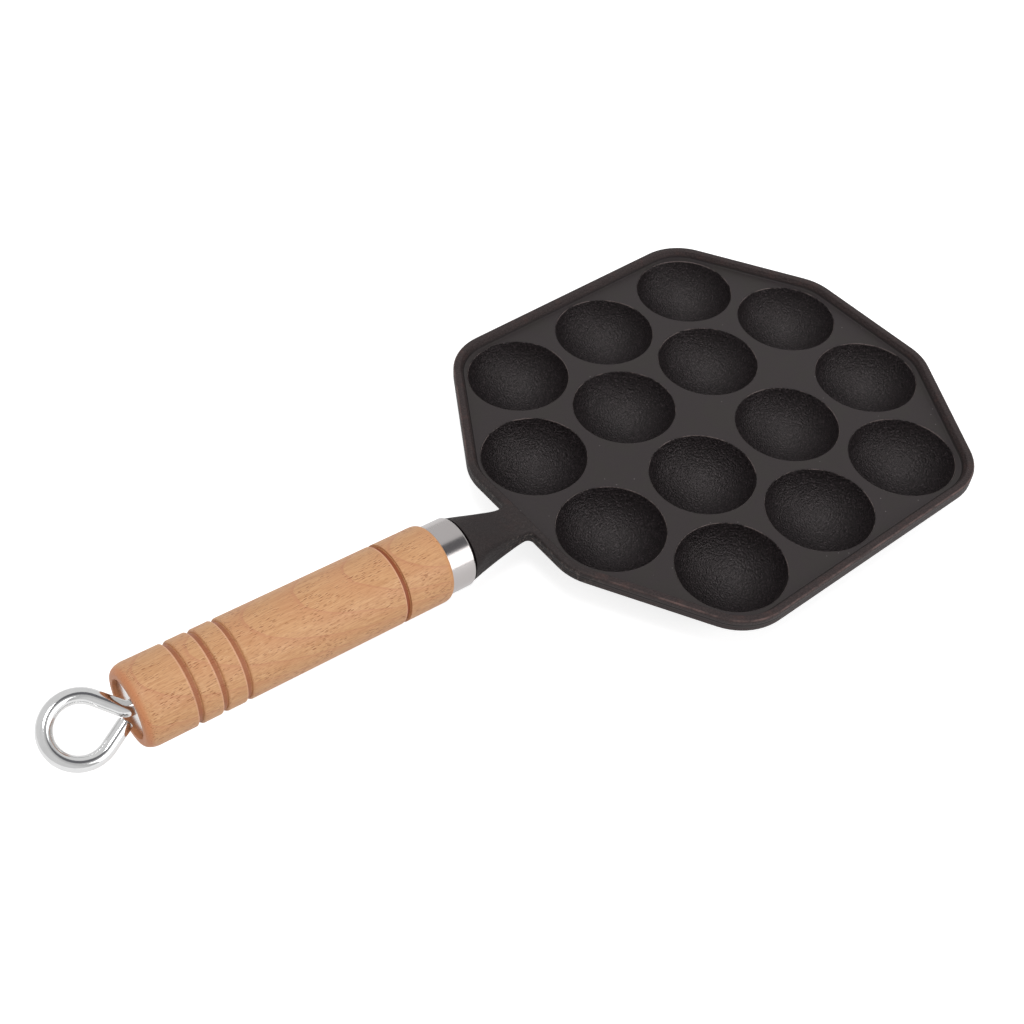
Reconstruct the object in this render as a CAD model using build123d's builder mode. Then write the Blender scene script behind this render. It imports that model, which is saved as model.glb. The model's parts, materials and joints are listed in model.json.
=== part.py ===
"""Takoyaki pan: one iron casting with fourteen round-bottomed cups, a raised lip and a flared
neck, and a turned wooden handle that a long eye bolt clamps onto the neck through a ferrule.

Frame: +Z up with the cups' feet on Z = 0, the handle towards -X, mirrored about Y = 0.
All sizes in millimetres.
"""

import os
from math import asin, atan, atan2, cos, degrees, hypot, radians, sin, sqrt

from build123d import *

os.makedirs("parts", exist_ok=True)

# ---------------------------------------------------------------- driving dimensions
# cups
cup_rim_radius = 20.0
cup_depth = 18.0
cup_wall = 2.8
cup_foot_radius = 4.0  # flat under each cup that the pan stands on
cup_rim_round = 0.25
cup_root_round = 2.0  # casting fillet between a cup's outside and the plate
row_web = 4.7  # plate left between two cups of a row
inner_rows_web = 4.4  # plate left between the two inner rows
outer_row_nesting = 1.7  # how far an outer row's cups reach in between the inner row's
inner_row_cups = 4
cup_pattern_shift = 0.3  # how much nearer the handle the cups are than the plate's middle

# plate and lip
plate_thickness = 3.0
edge_shelf = 5.8  # from the outermost cups' rims to the plate's edge, but for the shift
corner_radius = 22.0
edge_round = 1.0
lip_height = 2.75
lip_width = 4.1
lip_crest = 2.7
lip_inner_round = 0.8
lip_foot_round = 1.0

# neck
neck_length = 27.5  # from the plate's edge to the neck's round end
neck_root_width = 14.6
neck_root_length = 3.0  # straight tongue before the neck flares
neck_root_fillet = 2.2
neck_end_radius = 12.3
neck_end_rise = 3.4  # the round end's centre above the plate's floor
neck_end_round = 0.4
neck_ease = 0.08  # share of the neck's length before its height starts to grow
neck_flare_power = 2.2  # how late the neck widens: 1 would be straight sides
neck_end_flat = 0.2  # left beside each corner arc of the round end
neck_stations = (0, 0.08, 0.2, 0.4, 0.6, 0.8, 1)  # shares of the length where sections stand

# handle
handle_tilt = 6.1  # degrees, rising away from the pan
handle_length = 112.0  # the wood that shows, from the ferrule to its rear face
handle_front_radius = 14.25
handle_rear_radius = 13.95
shoulder_drop = 1.1  # front end rounding: how far it falls and how long it is
shoulder_run = 2.4
butt_drop = 2.4  # rear end rounding
butt_run = 4.5
butt_recess_radius = 10.0
groove_width = 1.8
groove_depth = 1.0
groove_shoulder_round = 0.8  # on the edge of each rear groove that is nearer the pan
groove_lip_round = 0.3  # on the other edge, and on the front groove's
front_groove_place = 18.6  # from the ferrule's rear edge to the middle of the groove
rear_groove_place = 17.4  # from the rear face to the middle of the last groove
rear_groove_pitch = 8.35
rear_groove_count = 3

# ferrule
ferrule_radius = 12.8
ferrule_length = 10.0
ferrule_wall = 0.8
ferrule_front_round = 0.7
tenon_clearance = 0.05
tenon_end_gap = 0.5

# washer
washer_sink = 1.4  # from the handle's rear face down to the washer's outer face
washer_thickness = 1.2
washer_rim_clearance = 0.3
washer_edge_round = 0.3

# eye bolt, bent from wire
wire_radius = 2.575
thread_depth = 12.0  # inside the neck
thread_clearance = 0.06
thread_tip_chamfer = 0.6
socket_run_out = 2.5  # tapped hole beyond the bolt's end
bolt_bore_clearance = 0.4  # in the handle and the ferrule
washer_hole_clearance = 0.08
eye_roll = 35.0  # degrees, turn of the loop about the shank, from lying flat
eye_bend_radius = 4.0  # this and the loop's radius are to the wire's centre line
eye_bend_clearance = 0.05  # from the washer to the start of the bend
eye_loop_radius = 10.05
eye_loop_place = 16.2  # from the washer's outer face to the loop's centre
eye_loop_offset = 0.76  # from the shank's line to the loop's centre
eye_tail_place = 3.3  # from the washer's outer face to the wire's end
eye_tail_offset = 3.15  # from the shank's line to the wire's end
eye_tail_chamfer = 0.4

# ---------------------------------------------------------------- worked-out sizes
quarter_turn = 90  # degrees

cup_pitch = 2 * cup_rim_radius + row_web
inner_rows_apart = 2 * cup_rim_radius + inner_rows_web
outer_row_step = 2 * cup_rim_radius - outer_row_nesting  # from an inner row to the outer row beside it
edge_margin = cup_rim_radius + edge_shelf  # from the outermost cup centres to the plate's edge

# A cup is a spherical bowl, and its outside is concentric with it.
bowl_radius = (cup_rim_radius**2 + cup_depth**2) / (2 * cup_depth)
dome_radius = bowl_radius + cup_wall
foot_cut = dome_radius - sqrt(dome_radius**2 - cup_foot_radius**2)
floor_z = cup_depth + cup_wall - foot_cut
underside_z = floor_z - plate_thickness
bowl_centre_z = floor_z - cup_depth + bowl_radius
edge_height = plate_thickness + lip_height

# Distances along the handle start at the neck's round end and grow away from the pan.
tilt = radians(handle_tilt)
roll = radians(eye_roll)
rear_face = ferrule_length + handle_length
washer_face = rear_face - washer_sink
washer_seat = washer_face - washer_thickness
bolt_bore_radius = wire_radius + bolt_bore_clearance
tenon_radius = ferrule_radius - ferrule_wall - tenon_clearance
loop_place = washer_face + eye_loop_place

# The origin is under the middle of the whole length, from the eye's far side to the plate's edge.
pan_half_length = cup_pitch * (inner_row_cups - 1) / 2 + edge_margin
eye_reach = (
    loop_place * cos(tilt)
    - eye_loop_offset * sin(roll) * sin(tilt)
    + eye_loop_radius * sqrt(cos(tilt) ** 2 + (sin(tilt) * sin(roll)) ** 2)
    + wire_radius
)
pan_x = (neck_length + eye_reach) / 2
plate_edge_x = pan_x - pan_half_length

neck_end = Vector(plate_edge_x - neck_length, 0, floor_z + neck_end_rise)
handle_direction = Vector(-cos(tilt), 0, sin(tilt))
handle_axis = Axis(neck_end, handle_direction)

# In these planes X is the distance along the handle and Y is the distance from its axis:
# upwards in the first, and towards the eye's bulging side in the second.
handle_plane = Plane(origin=neck_end, x_dir=handle_direction, z_dir=(0, 1, 0))
eye_plane = Plane(
    origin=neck_end,
    x_dir=handle_direction,
    z_dir=handle_plane.z_dir.rotate(handle_axis, quarter_turn - eye_roll),
)


def across_handle(place):
    """The plane square to the handle's axis at a distance along it, facing away from the pan."""
    return Plane(origin=neck_end + handle_direction * place, x_dir=(0, -1, 0), z_dir=handle_direction)


def cup_row(y, cups):
    """Cup centres of one row across the pan."""
    return [(pan_x - cup_pattern_shift + cup_pitch * (n - (cups - 1) / 2), y) for n in range(cups)]


inner_row = cup_row(inner_rows_apart / 2, inner_row_cups)
outer_row = cup_row(inner_rows_apart / 2 + outer_row_step, inner_row_cups - 1)
cup_places = inner_row + outer_row + [(x, -y) for x, y in inner_row + outer_row]
corner_cups = [inner_row[0], outer_row[0], outer_row[-1], inner_row[-1]]

# ---------------------------------------------------------------- pan casting
# The plate's edge follows the outermost cups at one margin, with a tongue for the neck.
with BuildSketch() as plate_outline:
    with Locations((cup_pattern_shift, 0)):
        Polygon(*corner_cups, *[(x, -y) for x, y in reversed(corner_cups)], align=None)
    offset(amount=edge_margin, kind=Kind.INTERSECTION)
    fillet(plate_outline.vertices(), corner_radius)

with BuildSketch() as casting_outline:
    add(plate_outline.sketch)
    with Locations((plate_edge_x, 0)):
        Rectangle(2 * neck_root_length, neck_root_width)
    plate_edge_points = casting_outline.vertices().group_by(Axis.X)[1].sort_by(Axis.Y)
    fillet(plate_edge_points[1:-1], neck_root_fillet)

# Outside of one cup: a dome on a flat foot, flaring into the plate's underside.
flare_centre = (
    sqrt((dome_radius + cup_root_round) ** 2 - (bowl_centre_z - underside_z + cup_root_round) ** 2),
    underside_z - cup_root_round,
)
flare_share = dome_radius / (dome_radius + cup_root_round)
dome_top = (flare_centre[0] * flare_share, bowl_centre_z + (flare_centre[1] - bowl_centre_z) * flare_share)
inside_plate_z = underside_z + plate_thickness / 2

with BuildPart() as dome:
    with BuildSketch(Plane.XZ):
        with BuildLine():
            Line((0, 0), (cup_foot_radius, 0))
            RadiusArc((cup_foot_radius, 0), dome_top, -dome_radius)
            RadiusArc(dome_top, (flare_centre[0], underside_z), cup_root_round)
            Polyline(
                (flare_centre[0], underside_z),
                (flare_centre[0], inside_plate_z),
                (0, inside_plate_z),
                (0, 0),
            )
        make_face()
    revolve(axis=Axis.Z)


def neck_section(share):
    """Plane, width, height and corner radius of the neck, from its flat root (0) to its round end (1)."""
    eased = share**2 / (share + neck_ease) * (1 + neck_ease)
    root = Vector(plate_edge_x - neck_root_length, 0, underside_z + edge_height / 2)
    centre = Vector(root.X + (neck_end.X - root.X) * share, 0, root.Z + (neck_end.Z - root.Z) * eased)
    lean = tilt * share
    plane = Plane(origin=centre, x_dir=(0, -1, 0), z_dir=(-cos(lean), 0, sin(lean)))
    width = neck_root_width + (2 * neck_end_radius - neck_root_width) * share**neck_flare_power
    height = edge_height + (2 * neck_end_radius - edge_height) * eased
    corner = edge_round + (height / 2 - neck_end_flat - edge_round) * share
    return plane, width, height, corner


with BuildPart() as neck:
    for share in neck_stations:
        plane, width, height, corner = neck_section(share)
        with BuildSketch(plane):
            RectangleRounded(width, height, corner)
    loft()

with BuildPart() as pan:
    with BuildSketch(Plane.XY.offset(underside_z)):
        add(casting_outline.sketch)
    extrude(amount=edge_height)
    tongue_end = pan.faces().sort_by(Axis.X)[0]
    fillet(
        (pan.faces().sort_by(Axis.Z)[-1].edges() + pan.faces().sort_by(Axis.Z)[0].edges())
        - tongue_end.edges(),
        edge_round,
    )
    with BuildSketch(Plane.XY.offset(floor_z)):
        add(plate_outline.sketch)
        offset(amount=-lip_width, kind=Kind.INTERSECTION)
    extrude(
        amount=lip_height,
        taper=-degrees(atan((lip_width - lip_crest) / lip_height)),
        mode=Mode.SUBTRACT,
    )
    fillet(pan.faces().filter_by(Plane.XY).sort_by(Axis.Z)[-1].inner_wires()[0].edges(), lip_inner_round)
    fillet(pan.faces().filter_by(Plane.XY).sort_by(Axis.Z)[1].edges(), lip_foot_round)
    add(neck.part)
    with Locations(*[(x, y, 0) for x, y in cup_places]):
        add(dome.part)
    with Locations(*[(x, y, bowl_centre_z) for x, y in cup_places]):
        Sphere(bowl_radius, mode=Mode.SUBTRACT)
    cup_rims = pan.faces().filter_by(Plane.XY).sort_by(Axis.Z)[-2].inner_wires()
    fillet([rim.edge() for rim in cup_rims], cup_rim_round)
    fillet(pan.faces().sort_by(handle_axis)[-1].outer_wire().edges(), neck_end_round)
    with BuildSketch(handle_plane):
        with BuildLine():
            Polyline(
                (0, 0),
                (0, wire_radius + thread_clearance),
                (-thread_depth - socket_run_out, wire_radius + thread_clearance),
                (-thread_depth - socket_run_out - wire_radius / 2, 0),
                close=True,
            )
        make_face()
    revolve(axis=handle_axis, mode=Mode.SUBTRACT)
pan.part.label = "pan"
export_step(pan.part, "parts/pan.step")

# ---------------------------------------------------------------- ferrule
# A drawn steel cup: its holed front presses on the neck, and its open rear takes the tenon.
with BuildPart() as ferrule:
    with BuildSketch(across_handle(0)):
        Circle(ferrule_radius)
    extrude(amount=ferrule_length)
    offset(amount=-ferrule_wall, openings=ferrule.faces().sort_by(handle_axis)[-1])
    fillet(ferrule.faces().sort_by(handle_axis)[0].outer_wire().edges(), ferrule_front_round)
    with BuildSketch(across_handle(0)):
        Circle(bolt_bore_radius)
    extrude(amount=ferrule_wall, mode=Mode.SUBTRACT)
ferrule.part.label = "ferrule"
export_step(ferrule.part, "parts/ferrule.step")


# ---------------------------------------------------------------- handle
def handle_radius(place):
    """Radius of the plain turned wood at a distance along the handle."""
    share = (place - ferrule_length) / handle_length
    return handle_front_radius + (handle_rear_radius - handle_front_radius) * share


tenon_front = ferrule_wall + tenon_end_gap
shoulder_end = ferrule_length + shoulder_run
butt_start = rear_face - butt_run
groove_places = [ferrule_length + front_groove_place]
groove_places += [rear_face - rear_groove_place - rear_groove_pitch * n for n in range(rear_groove_count)]
groove_rounds = [(place + groove_width / 2, groove_lip_round) for place in groove_places]
groove_rounds += [(place - groove_width / 2, groove_shoulder_round) for place in groove_places[1:]]

with BuildPart() as handle:
    with BuildSketch(handle_plane) as handle_profile:
        with BuildLine():
            Polyline(
                (ferrule_length, handle_radius(shoulder_end) - shoulder_drop),
                (ferrule_length, tenon_radius),
                (tenon_front, tenon_radius),
                (tenon_front, bolt_bore_radius),
                (washer_seat, bolt_bore_radius),
                (washer_seat, butt_recess_radius),
                (rear_face, butt_recess_radius),
                (rear_face, handle_radius(butt_start) - butt_drop),
            )
            EllipticalCenterArc(
                (butt_start, handle_radius(butt_start) - butt_drop), butt_run, butt_drop, arc_size=quarter_turn
            )
            Line((butt_start, handle_radius(butt_start)), (shoulder_end, handle_radius(shoulder_end)))
            EllipticalCenterArc(
                (shoulder_end, handle_radius(shoulder_end) - shoulder_drop),
                shoulder_run,
                shoulder_drop,
                start_angle=quarter_turn,
                arc_size=quarter_turn,
            )
        make_face()
        for place in groove_places:
            with Locations((place, handle_radius(place))):
                Rectangle(groove_width, 2 * groove_depth, mode=Mode.SUBTRACT)
        for place, radius in groove_rounds:
            groove_edge = (place, handle_radius(place))
            fillet(handle_profile.vertices().sort_by_distance(groove_edge)[0], radius)
    revolve(axis=handle_axis)
handle.part.label = "handle"
export_step(handle.part, "parts/handle.step")

# ---------------------------------------------------------------- washer
with BuildPart() as washer:
    with BuildSketch(across_handle(washer_seat)):
        Circle(butt_recess_radius - washer_rim_clearance)
        Circle(wire_radius + washer_hole_clearance, mode=Mode.SUBTRACT)
    extrude(amount=washer_thickness)
    fillet(washer.faces().sort_by(handle_axis)[-1].outer_wire().edges(), washer_edge_round)
washer.part.label = "washer"
export_step(washer.part, "parts/washer.step")

# ---------------------------------------------------------------- eye bolt
# The shank bends aside at the washer, meets the loop on its bulging side, goes once round its far
# side and ends in a straight tail beside the shank. The bend and the loop share an inner tangent.
bend_place = washer_face + eye_bend_clearance
tail_place = washer_face + eye_tail_place

loop_from_bend = (loop_place - bend_place, eye_loop_offset - eye_bend_radius)
bend_angle = atan2(loop_from_bend[1], loop_from_bend[0])
bend_angle += asin((eye_bend_radius + eye_loop_radius) / hypot(*loop_from_bend))
strand_start = (bend_place + eye_bend_radius * sin(bend_angle), eye_bend_radius * (1 - cos(bend_angle)))
strand_end = (
    loop_place - eye_loop_radius * sin(bend_angle),
    eye_loop_offset + eye_loop_radius * cos(bend_angle),
)

loop_from_tail = (loop_place - tail_place, eye_loop_offset + eye_tail_offset)
tail_angle = asin(eye_loop_radius / hypot(*loop_from_tail)) - atan2(loop_from_tail[1], loop_from_tail[0])
tail_start = (
    loop_place - eye_loop_radius * sin(tail_angle),
    eye_loop_offset - eye_loop_radius * cos(tail_angle),
)

with BuildPart() as eye_bolt:
    with BuildLine(eye_plane):
        Line((-thread_depth, 0), (bend_place, 0))
        CenterArc((bend_place, eye_bend_radius), eye_bend_radius, -quarter_turn, degrees(bend_angle))
        Line(strand_start, strand_end)
        CenterArc(
            (loop_place, eye_loop_offset),
            eye_loop_radius,
            quarter_turn + degrees(bend_angle),
            -2 * quarter_turn - degrees(bend_angle + tail_angle),
        )
        Line(tail_start, (tail_place, -eye_tail_offset))
    with BuildSketch(across_handle(-thread_depth)):
        Circle(wire_radius)
    sweep()
    thread_tip = eye_bolt.faces().sort_by(handle_axis)[0]
    wire_tail = eye_bolt.faces().filter_by(GeomType.PLANE).sort_by(handle_axis)[-1]
    chamfer(thread_tip.edges(), thread_tip_chamfer)
    chamfer(wire_tail.edges(), eye_tail_chamfer)
eye_bolt.part.label = "eye_bolt"
export_step(eye_bolt.part, "parts/eye_bolt.step")
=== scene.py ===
"""Looks of the takoyaki pan: bare seasoned iron, turned beech, drawn steel and plated wire.

The frame's own solids are shown. This file gives them their finishes, stands them on a pale
floor and lights them. Shader sizes are in millimetres of the frame.

A pair of numbers that ends a look softly is written as (none, full): the look is absent at the
first number and complete at the second. Noise runs from about 0.3 to 0.7, so a pair inside that
range says how much of the surface a look covers.
"""

import json
from math import cos, pi, radians, sin

import bpy
from mathutils import Matrix, Quaternion, Vector


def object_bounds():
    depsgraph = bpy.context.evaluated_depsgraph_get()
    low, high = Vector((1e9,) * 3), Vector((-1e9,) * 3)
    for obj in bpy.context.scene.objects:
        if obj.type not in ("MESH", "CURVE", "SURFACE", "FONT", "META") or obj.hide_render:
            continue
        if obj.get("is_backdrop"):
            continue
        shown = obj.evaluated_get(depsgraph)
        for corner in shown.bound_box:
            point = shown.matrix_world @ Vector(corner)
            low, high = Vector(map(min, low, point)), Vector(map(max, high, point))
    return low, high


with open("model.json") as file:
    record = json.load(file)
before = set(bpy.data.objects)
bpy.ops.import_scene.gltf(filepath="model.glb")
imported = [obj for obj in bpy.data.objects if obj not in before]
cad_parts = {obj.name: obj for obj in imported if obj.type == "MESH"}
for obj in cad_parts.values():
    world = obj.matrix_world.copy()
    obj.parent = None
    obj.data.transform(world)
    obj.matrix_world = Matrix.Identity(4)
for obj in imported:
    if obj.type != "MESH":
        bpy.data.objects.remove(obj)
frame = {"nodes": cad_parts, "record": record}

MM = 0.001
cad_box = [list(corner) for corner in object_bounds()]

# ---------------------------------------------------------------- sizes the finishes follow
# pan
cup_pitch = 44.7
outer_row_step = 38.3
last_inner_cup = 3  # cups are counted from 0 along a row
last_outer_cup = 2
cup_rim_radius = 20.0
bowl_radius = 20.11
bowl_centre_z = 22.56
plate_z = 20.45  # upper face of the plate
plate_shift = 0.3  # of the plate's middle from the middle of the cups

cup_foot = Vector(frame["record"]["mounts"][0]["pos_m"]) / MM  # under the inner row's second cup
inner_row_y = cup_foot.y
outer_row_y = inner_row_y + outer_row_step
first_inner_cup_x = cup_foot.x - cup_pitch
first_outer_cup_x = first_inner_cup_x + cup_pitch / 2
plate_middle_x = first_inner_cup_x + cup_pitch * (last_inner_cup / 2) + plate_shift

# handle, with places counted along it from the neck's end
handle_tilt = radians(6.1)
first_cup_to_neck_end = 53.0
neck_end_rise = 3.4
ferrule_length = 10.0
handle_length = 112.0
handle_radius = 14.25
handle_taper = 0.3
recess_radius = 10.0
groove_half_width = 0.9
front_groove_inset = 18.6
rear_groove_inset = 17.4
rear_groove_pitch = 8.35
rear_groove_count = 3

rear_face_place = ferrule_length + handle_length
front_groove_place = ferrule_length + front_groove_inset
rear_groove_places = [
    rear_face_place - rear_groove_inset - rear_groove_pitch * n for n in range(rear_groove_count)
]

neck_end = Vector((first_inner_cup_x - first_cup_to_neck_end, 0, plate_z + neck_end_rise))
handle_direction = Vector((-cos(handle_tilt), 0, sin(handle_tilt)))
handle_side = Vector((0, -1, 0))


def past_neck_end(x, z):
    """Distance along the handle from the neck's end, below 0 on the pan's side of it."""
    return x * handle_direction.x + z * handle_direction.z - neck_end.dot(handle_direction)


# ---------------------------------------------------------------- shader maths
class Signal:
    """A number or colour on its way through a shader. Arithmetic on it adds Math nodes."""

    def __init__(self, shader, socket):
        self.shader = shader
        self.socket = socket

    def math(self, operation, *terms):
        return self.shader.node("ShaderNodeMath", {"operation": operation}, dict(enumerate(terms)))

    def __add__(self, other):
        return self.math("ADD", self, other)

    __radd__ = __add__

    def __sub__(self, other):
        return self.math("SUBTRACT", self, other)

    def __rsub__(self, other):
        return self.math("SUBTRACT", other, self)

    def __mul__(self, other):
        return self.math("MULTIPLY", self, other)

    __rmul__ = __mul__

    def __truediv__(self, other):
        return self.math("DIVIDE", self, other)

    def __pow__(self, other):
        return self.math("POWER", self, other)

    def __abs__(self):
        return self.math("ABSOLUTE", self)

    def __round__(self):
        return self.math("ROUND", self)

    def fraction(self):
        return self.math("FRACT", self)

    def at_least(self, other):
        return self.math("MAXIMUM", self, other)

    def at_most(self, other):
        return self.math("MINIMUM", self, other)

    def between(self, none, full, place=0.0):
        """0 up to none and 1 from full on, both counted from place, with a smooth step."""
        return self.shader.node(
            "ShaderNodeMapRange",
            {"interpolation_type": "SMOOTHSTEP"},
            {0: self, 1: place + none, 2: place + full},
        )


class Shader:
    """A node tree and short ways to add to it."""

    def __init__(self, tree):
        self.tree = tree

    def feed(self, target, sockets):
        for key, value in sockets.items():
            if isinstance(value, Signal):
                self.tree.links.new(value.socket, target.inputs[key])
            else:
                target.inputs[key].default_value = value

    def node(self, kind, settings=None, sockets=None, output=0):
        made = self.tree.nodes.new(kind)
        for key, value in (settings or {}).items():
            setattr(made, key, value)
        self.feed(made, sockets or {})
        return Signal(self, made.outputs[output])

    def split(self, vector):
        return [
            self.node("ShaderNodeSeparateXYZ", None, {0: vector}, output=axis) for axis in "XYZ"
        ]

    def join(self, x, y, z):
        return self.node("ShaderNodeCombineXYZ", None, {0: x, 1: y, 2: z})

    def noise(self, vector, size=1.0, detail=2.0, roughness=0.5):
        sockets = {"Vector": vector, "Scale": 1 / size, "Detail": detail, "Roughness": roughness}
        return self.node("ShaderNodeTexNoise", None, sockets)

    def cells(self, vector, size=1.0):
        """Distance to the nearest of many scattered points."""
        return self.node("ShaderNodeTexVoronoi", None, {"Vector": vector, "Scale": 1 / size})

    def mix(self, share, first, second):
        """Colour from first (share 0) to second (share 1)."""
        sockets = {0: share, 6: first, 7: second}
        return self.node("ShaderNodeMix", {"data_type": "RGBA"}, sockets, output=2)

    def coats(self, base, *coats):
        """The base colour under coats, each given as where it lies, its strength and its colour."""
        for where, strength, shade in coats:
            base = self.mix(where * strength, base, shade)
        return base


class Finish(Shader):
    """One material: a Principled surface and the nodes that feed it."""

    def __init__(self, name, **surface):
        self.material = bpy.data.materials.new(name)
        self.material.use_nodes = True
        super().__init__(self.material.node_tree)
        self.surface({key.replace("_", " "): value for key, value in surface.items()})

    def surface(self, sockets):
        self.feed(self.tree.nodes["Principled BSDF"], sockets)

    def paint_shade(self, share, shade):
        """Painted shade: where share is 1, the surface is dull, takes the shade colour and has no
        gloss of its own.
        """
        glossy = Signal(self, self.tree.nodes["Principled BSDF"].outputs[0])
        sockets = {"Base Color": shade, "Roughness": 1.0, "Specular IOR Level": 0.0}
        dull = self.node("ShaderNodeBsdfPrincipled", None, sockets)
        mixed = self.node("ShaderNodeMixShader", None, {0: share, 1: glossy, 2: dull})
        self.feed(self.tree.nodes["Material Output"], {"Surface": mixed})

    def object_mm(self):
        place = self.node("ShaderNodeTexCoord", output="Object")
        sockets = {0: place, "Scale": 1 / MM}
        return self.node("ShaderNodeVectorMath", {"operation": "SCALE"}, sockets)

    def bump(self, height):
        """Normal of a surface with a relief given in millimetres."""
        sockets = {"Height": height, "Distance": MM, "Strength": 1.0}
        return self.node("ShaderNodeBump", None, sockets)


def colour(red, green, blue):
    """A shader colour from display values of 0 to 255."""
    linear = [((value / 255 + 0.055) / 1.055) ** 2.4 for value in (red, green, blue)]
    return (*linear, 1.0)


def grey(level):
    """A shader grey, where 1 is white."""
    return (level, level, level, 1.0)


# ---------------------------------------------------------------- iron
# where looks end on the pan, as (none, full) in millimetres
bowl_skin = (0.3, 0.05)  # off the sphere of the bowl
rim_line = (0.5, 0.3)  # round the circle of the rim
rim_line_top = (-0.01, -0.07)  # from the plate's face
lip_start = (0.3, 1.2)  # from the plate's face
foot_line_start = (0.04, 0.2)  # from the plate's face
foot_line_end = (0.75, 0.35)  # from the plate's face
underside_start = (-0.4, -1.2)  # from the plate's face
outer_side = (0, 4)  # how far a face looks away from the plate's middle
neck_start = (-36, -28)  # along the handle
neck_root = (-12, -26)  # along the handle
ferrule_seam = (-0.95, -0.7)  # along the handle

# which way faces look on the pan, as (none, full), where 1 is up and 0 is level
flank_slope = (0.6, 0.15)
lip_edge_lowest = (0.35, 0.6)
lip_edge_highest = (0.95, 0.85)

plate_dark = colour(33, 28, 29)
plate_pale = colour(41, 35, 36)
plate_cloud = colour(37, 34, 31)
plate_dot = colour(120, 116, 114)
cup_dark = colour(6, 3, 4)
cup_pale = colour(30, 24, 26)
cup_glint = colour(66, 59, 61)
cast_dark = colour(29, 19, 19)
cast_pale = colour(45, 34, 33)
cast_rust = colour(78, 48, 42)
# painted shade for faces that look aside
flank_painted_shade = colour(26, 14, 13)
neck_black = colour(20, 16, 16)
# painted sheen at the neck's root
neck_root_sheen = colour(104, 94, 90)
rim_wear_and_highlight = colour(112, 100, 98)
lip_wear_and_highlight = colour(132, 104, 98)
# painted shade for the seam, the crease and the underside
shade_black = colour(12, 9, 9)
iron_sheen = (1.0, 0.92, 0.92, 1.0)


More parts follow.
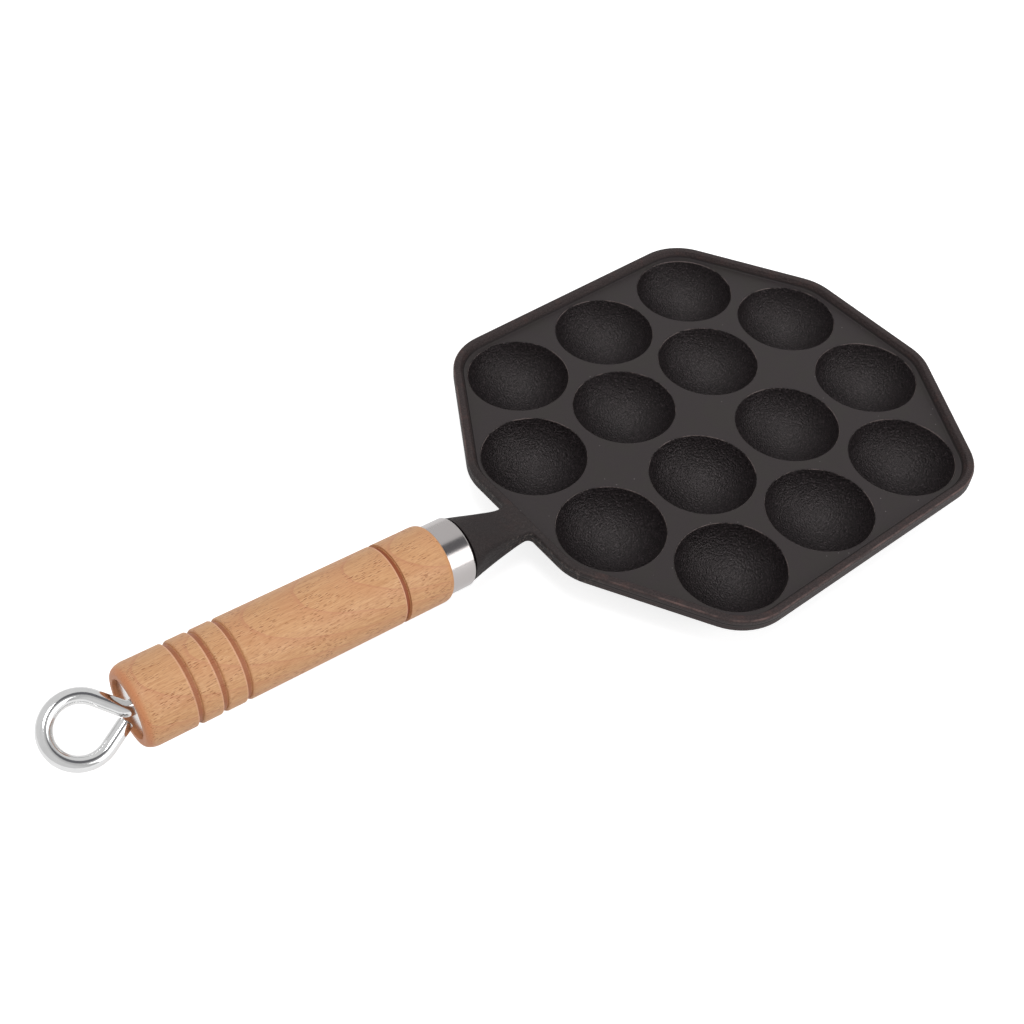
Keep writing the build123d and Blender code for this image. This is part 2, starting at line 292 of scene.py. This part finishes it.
def seasoned_iron():
    """Smooth dark plate, grainy cups with painted glints, rough warm-brown lip, worn rims and lip
    edge that also carry a painted highlight, a dark neck with a painted sheen at its root, and
    painted shade on steep faces, at the lip's foot, under the neck and at the ferrule.
    """
    iron = Finish("seasoned_iron", Specular_IOR_Level=0.5, Specular_Tint=iron_sheen)
    place = iron.object_mm()
    x, y, z = iron.split(place)
    normal_x, normal_y, normal_z = iron.split(iron.node("ShaderNodeNewGeometry", output="Normal"))

    def to_cup(first_x, row_y, last_cup):
        """Distance aside to the nearest cup's axis, of the two rows at +row_y and -row_y."""
        cup = round((x - first_x) / cup_pitch).at_least(0).at_most(last_cup)
        across = x - first_x - cup * cup_pitch
        aside = abs(y) - row_y
        return (across * across + aside * aside) ** 0.5

    # parts of the casting
    to_inner_cup = to_cup(first_inner_cup_x, inner_row_y, last_inner_cup)
    to_outer_cup = to_cup(first_outer_cup_x, outer_row_y, last_outer_cup)
    aside = to_inner_cup.at_most(to_outer_cup)
    rise = z - bowl_centre_z
    from_bowl_centre = (aside * aside + rise * rise) ** 0.5
    in_cup = from_bowl_centre.between(*bowl_skin, bowl_radius)
    rim_off = aside - cup_rim_radius
    rim_drop = z - plate_z
    from_rim = (rim_off * rim_off + rim_drop * rim_drop) ** 0.5
    on_rim = from_rim.between(*rim_line) * rim_drop.between(*rim_line_top)
    on_lip = z.between(*lip_start, plate_z)
    lip_foot = z.between(*foot_line_start, plate_z) * z.between(*foot_line_end, plate_z)
    outward = normal_x * (x - plate_middle_x) + normal_y * y
    lip_edge = normal_z.between(*lip_edge_lowest) * normal_z.between(*lip_edge_highest)
    lip_edge = lip_edge * outward.between(*outer_side) * on_lip
    flank = normal_z.between(*flank_slope) * (1 - in_cup)
    under = z.between(*underside_start, plate_z) * (1 - in_cup)
    rough_cast = on_lip.at_least(under)
    neck_gap = past_neck_end(x, z)
    on_neck = neck_gap.between(*neck_start)
    # painted grainy sheen on the neck's root, most on its flanks
    root_sheen_place = on_neck * neck_gap.between(*neck_root) * (flank * 0.9 + 0.1)
    at_ferrule = neck_gap.between(*ferrule_seam)

    speckle = iron.noise(place, size=0.4, detail=3, roughness=0.7)
    grain = iron.noise(place, size=0.7, roughness=0.55)
    pits = iron.noise(place, size=1.3, roughness=0.6)
    dots = iron.cells(place, size=5.0)
    rust = iron.noise(place, size=7, detail=5, roughness=0.7)
    wear = iron.noise(place, size=9, detail=4, roughness=0.7)
    clouds = iron.noise(place, size=11, detail=3, roughness=0.6)

    plate = iron.coats(
        iron.mix(speckle.between(0.3, 0.7), plate_dark, plate_pale),
        (clouds.between(0.45, 0.62), 0.7, plate_cloud),
        (dots.between(0.06, 0.03), 0.6, plate_dot),
    )
    cup = iron.mix(grain.between(0.36, 0.6), cup_dark, cup_pale)
    cup = iron.mix(grain.between(0.58, 0.74), cup, cup_glint)
    cast = iron.coats(
        iron.mix(grain.between(0.35, 0.65), cast_dark, cast_pale),
        (rust.between(0.5, 0.75), 0.4, cast_rust),
    )
    base = iron.coats(
        iron.mix(rough_cast, iron.mix(in_cup, plate, cup), cast),
        # painted shade on the steep faces
        (flank, 0.4, flank_painted_shade),
        (on_neck, 0.6, neck_black),
        (root_sheen_place * pits.between(0.54, 0.62), 0.7, neck_root_sheen),
        # wear on the cups' rims, also a painted highlight along them
        (on_rim * wear.between(0.42, 0.58), 0.7, rim_wear_and_highlight),
        # wear on the lip's outer top edge, also a painted highlight along it
        (lip_edge * (1 - on_neck) * wear.between(0.36, 0.64), 0.4, lip_wear_and_highlight),
    )

    relief = speckle * 0.02 + grain * in_cup * 0.44
    relief = relief + grain * rough_cast * 0.3 + pits * on_neck * 0.3
    iron.surface(
        {
            "Base Color": base,
            "Roughness": 0.5 + speckle * 0.1 - in_cup * 0.15 + rough_cast * 0.05,
            "Normal": iron.bump(relief),
        },
    )
    # painted shade: dark and dull at the ferrule's seam, in the crease at the lip's foot and under
    # the neck
    below_neck = flank * on_neck
    iron.paint_shade(at_ferrule.at_least(lip_foot * 0.55).at_least(below_neck * 0.2), shade_black)
    return iron.material


# ---------------------------------------------------------------- beech
ring_pitch = 3.75
ring_slope = 0.203  # how fast the tree's heart leaves the handle's line
ring_edge_place = 64.5  # where one ring's late wood ends on top of the handle
ring_warp = 0.35  # in rings
heart_depth = 18.0  # of the tree's heart under the handle's line, at ring_edge_place
first_ring = 10  # keeps the count of rings above 0
ray_slope = 0.04  # of the rays to the handle's line
ray_sway = 2.6
glint_shift = 0.3  # of a painted glint from the dark ray beside it

# where looks end on the handle, as (none, full) in millimetres
groove_side = (0.1, -0.5)  # from the side of a groove
groove_depth = (0.45, 0.95)  # under the handle's surface
groove_lip = (0.5, 0.15)  # round a line just behind the groove
groove_lip_shift = 0.15  # of that line from the groove's side
shoulder_start = (2.4, 0.6)  # behind the ferrule
butt_start = (-1.6, 0.2)  # from the rear face
recess_side = (0.6, 0.2)  # from the recess's wall
recess_start = (-4, -3)  # from the rear face

beech_dark = colour(194, 141, 96)
beech_pale = colour(212, 164, 119)
beech_late_wood = colour(198, 138, 98)
beech_ring_line = colour(188, 124, 92)
beech_ray = colour(142, 78, 38)
beech_glint = colour(230, 192, 150)
beech_shoulder = colour(216, 152, 96)
beech_end_grain = colour(198, 118, 74)
recess_painted_shade = colour(176, 112, 76)
burnt_groove = colour(150, 80, 46)
groove_edge_highlight = colour(234, 184, 154)


def turned_beech():
    """Slanted growth rings, short dark rays, and darker grooves and end grain."""
    beech = Finish("turned_beech", Specular_IOR_Level=0.45)
    handle_axes = (handle_direction, handle_side, handle_direction.cross(handle_side))
    handle_turn = Matrix(handle_axes).transposed().to_euler()
    on_handle = beech.node(
        "ShaderNodeMapping",
        {"vector_type": "TEXTURE"},
        {"Vector": beech.object_mm(), "Location": neck_end, "Rotation": handle_turn},
    )
    along, side, up = beech.split(on_handle)
    radius = (side * side + up * up) ** 0.5

    def stretched(length, width, aside=side):
        """The place on the handle, counted in grains of this length and width."""
        return beech.join(along / length, aside / width, up / width)

    # growth rings round the tree's heart, cut at a slant: early wood, late wood and a thin line
    warp = beech.noise(stretched(30, 9)) - 0.5
    depth = up + heart_depth - (along - ring_edge_place) * ring_slope
    heart_distance = (side * side + depth * depth) ** 0.5
    rings = (heart_distance - heart_depth - handle_radius) / ring_pitch
    ring_share = (rings + warp * ring_warp + first_ring).fraction()
    ring_end = ring_share.between(1.0, 0.985)
    late_wood = ring_share.between(0.3, 0.95) * ring_end
    ring_line = ring_share.between(0.9, 0.97) * ring_end

    # short dark rays, each with a painted glint beside it, nearly along the grain
    sway = beech.noise(stretched(22, 10))
    drift = side - along * ray_slope + sway * ray_sway
    ray = beech.cells(stretched(2.6, 0.4, drift)).between(0.36, 0.2)
    glint = beech.cells(stretched(2.6, 0.4, drift + glint_shift)).between(0.36, 0.22) * (1 - ray)
    patches = beech.noise(stretched(9, 5), roughness=0.6).between(0.4, 0.64)
    fibre = beech.noise(stretched(10, 0.42, drift), detail=3, roughness=0.6)

    # grooves, burnt by the turning tool, each with a painted highlight along its rear edge
    nominal_radius = handle_radius - handle_taper * (along - ferrule_length) / handle_length
    in_groove = 0
    on_groove_highlight = 0
    burns = [(front_groove_place, 1.0)] + [(place, 0.75) for place in rear_groove_places]
    for groove_place, burn in burns:
        off = along - groove_place
        in_groove = in_groove + abs(off).between(*groove_side, groove_half_width) * burn
        from_lip = abs(off - groove_half_width - groove_lip_shift)
        on_groove_highlight = on_groove_highlight + from_lip.between(*groove_lip)
    in_groove = in_groove * (nominal_radius - radius).between(*groove_depth)

    # both ends and the recess
    shoulder = along.between(*shoulder_start, ferrule_length)
    end_grain = (along + fibre * 2).between(*butt_start, rear_face_place)
    # painted shade on the recess's wall
    in_recess = radius.between(*recess_side, recess_radius)
    in_recess = in_recess * along.between(*recess_start, rear_face_place)

    wood = beech.coats(
        beech.mix(fibre.between(0.3, 0.7), beech_dark, beech_pale),
        (late_wood, 0.4, beech_late_wood),
        (ring_line, 0.35, beech_ring_line),
        (ray, 0.25 + patches * 0.7, beech_ray),
        (glint, 0.12 + patches * 0.25, beech_glint),
        (in_groove, 1.0, burnt_groove),
        # painted highlight on each groove's rear edge
        (on_groove_highlight, 0.5, groove_edge_highlight),
        (end_grain, 0.6, beech_end_grain),
        (shoulder, 0.4, beech_shoulder),
        (in_recess, 0.3, recess_painted_shade),
    )
    beech.surface(
        {
            "Base Color": wood,
            "Roughness": 0.42 + fibre * 0.15,
            "Normal": beech.bump(fibre * 0.03),
        },
    )
    return beech.material


# ---------------------------------------------------------------- steel and wire
ferrule_foot_line = (0.34, 0.26)  # along the handle, as (none, full) in millimetres
ferrule_foot_shade = colour(12, 11, 11)
ferrule_dark = colour(184, 179, 178)
ferrule_pale = colour(196, 191, 190)
# the washer's steel is painted lighter than the ferrule's, a lit copy of the same drawn steel
lit_washer_dark = colour(222, 221, 219)
lit_washer_pale = colour(236, 235, 233)
wire_dark = colour(220, 220, 220)
wire_pale = colour(234, 234, 234)


def drawn_steel(name, dark, pale):
    """Bright steel with fine turned lines, and a line of painted shade where it meets the neck."""
    steel = Finish(name, Metallic=1.0)
    x, y, z = steel.split(steel.object_mm())
    lines = steel.noise(steel.join(x * 9, y * 0.4, z * 0.4), detail=3)
    shade = steel.mix(lines, dark, pale)
    # painted shade where the ferrule meets the neck
    at_foot = past_neck_end(x, z).between(*ferrule_foot_line)
    shade = steel.mix(at_foot, shade, ferrule_foot_shade)
    steel.surface({"Base Color": shade, "Roughness": 0.14 + lines * 0.08})
    return steel.material


def plated_wire():
    """Bright plated wire with a slight haze."""
    wire = Finish("plated_wire", Metallic=1.0)
    haze = wire.noise(wire.object_mm(), size=3, detail=3)
    shade = wire.mix(haze, wire_dark, wire_pale)
    wire.surface({"Base Color": shade, "Roughness": 0.07 + haze * 0.05})
    return wire.material


def dress(node, material):
    """The node's whole surface gets one material."""
    node.data.materials.clear()
    node.data.materials.append(material)


nodes = frame["nodes"]
dress(nodes["pan"], seasoned_iron())
dress(nodes["handle"], turned_beech())
dress(nodes["ferrule"], drawn_steel("drawn_steel", ferrule_dark, ferrule_pale))
# a lit copy of the drawn steel, painted lighter
dress(nodes["washer"], drawn_steel("lit_washer_steel", lit_washer_dark, lit_washer_pale))
dress(nodes["eye_bolt"], plated_wire())


# ---------------------------------------------------------------- floor
floor_half = 6.0  # metres
floor_glow = 0.76
glow_in_gloss = 0.55  # share of the glow that reflections show


def pale_floor():
    """White to the eye, pale in reflections, and still shaded where the pan keeps light off."""
    pale = Finish(
        "pale_floor", Roughness=0.9, Specular_IOR_Level=0.1, Emission_Strength=floor_glow
    )
    camera_ray, glossy_ray, transmission_ray = [
        pale.node("ShaderNodeLightPath", output=kind)
        for kind in ("Is Camera Ray", "Is Glossy Ray", "Is Transmission Ray")
    ]
    seen = camera_ray.at_least(glossy_ray.at_least(transmission_ray) * glow_in_gloss)
    patch = pale.noise(pale.object_mm(), size=400, detail=1)
    pale.surface(
        {
            "Base Color": pale.mix(patch, grey(0.59), grey(0.61)),
            "Emission Color": pale.mix(seen, grey(0), grey(1)),
        },
    )
    return pale.material


floor_mesh = bpy.data.meshes.new("floor")
corner_signs = ((-1, -1), (1, -1), (1, 1), (-1, 1))
corners = [(x_sign * floor_half, y_sign * floor_half, 0) for x_sign, y_sign in corner_signs]
floor_mesh.from_pydata(corners, [], [(0, 1, 2, 3)])
floor = bpy.data.objects.new("floor", floor_mesh)
bpy.context.scene.collection.objects.link(floor)
dress(floor, pale_floor())
floor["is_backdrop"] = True


# ---------------------------------------------------------------- light
def soft_box(name, direction, distance, size, brightness):
    """A square lamp aimed at the pan, in metres. A brightness of 1 looks white."""
    lamp = bpy.data.lights.new(name, "AREA")
    lamp.shape = "SQUARE"
    lamp.size = size
    lamp.energy = brightness * pi * size**2
    holder = bpy.data.objects.new(name, lamp)
    bpy.context.scene.collection.objects.link(holder)
    holder.location = Vector(direction).normalized() * distance
    holder.rotation_euler = Vector(direction).to_track_quat("Z", "Y").to_euler()


soft_box("front_light", (0.42, -0.82, 0.38), distance=1.6, size=1.1, brightness=2.1)
soft_box("top_light", (-0.16, -0.22, 0.96), distance=1.5, size=0.4, brightness=10.4)

front_sky = grey(0.55)
rear_sky = grey(0.77)
rear_sky_start = (-0.5, 0.2)
left_sky_start = (0.15, -0.2)
left_sky_share = 0.75  # of the rear sky's level
gap_sky = (0.15, 0.15, 0.16, 1.0)
gap_direction = Vector((0.42, -0.3, 0.855)).normalized()
gap_edge = (cos(radians(19)), cos(radians(15)))


def studio():
    """Pale all round, dimmer in front, with a dark gap between the lamps."""
    world = bpy.data.worlds.new("studio")
    world.use_nodes = True
    sky = Shader(world.node_tree)
    direction = sky.node("ShaderNodeTexCoord", output="Generated")
    x, y, _ = sky.split(direction)
    towards_gap = sky.node(
        "ShaderNodeVectorMath",
        {"operation": "DOT_PRODUCT"},
        {0: direction, 1: gap_direction},
        output="Value",
    )
    bright = y.between(*rear_sky_start).at_least(x.between(*left_sky_start) * left_sky_share)
    shade = sky.mix(bright, front_sky, rear_sky)
    shade = sky.mix(towards_gap.between(*gap_edge), shade, gap_sky)
    sky.feed(world.node_tree.nodes["Background"], {"Color": shade, "Strength": 1.0})
    return world


bpy.context.scene.world = studio()

# ---------------------------------------------------------------- camera
view_azimuth = radians(-39.48)
view_elevation = radians(48.64)
view_roll = radians(2.276)
view_distance = 470.14 * MM
view_target = Vector((first_inner_cup_x - 23.9, 4.87, plate_z)) * MM
lens_length = 45.93
sensor_width = 36
nearest_seen = 0.01

level = cos(view_elevation)
look = Vector((-sin(view_azimuth) * level, cos(view_azimuth) * level, -sin(view_elevation)))
camera_data = bpy.data.cameras.new("camera")
camera_data.lens = lens_length
camera_data.sensor_width = sensor_width
camera_data.clip_start = nearest_seen
camera = bpy.data.objects.new("camera", camera_data)
bpy.context.scene.collection.objects.link(camera)
camera.location = view_target - look * view_distance
upright = look.to_track_quat("-Z", "Y")
camera.rotation_euler = (upright @ Quaternion((0, 0, 1), view_roll)).to_euler()
bpy.context.scene.camera = camera
bpy.context.scene.view_settings.view_transform = "Standard"

{"cad": cad_box, "visual": [list(corner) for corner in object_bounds()]}
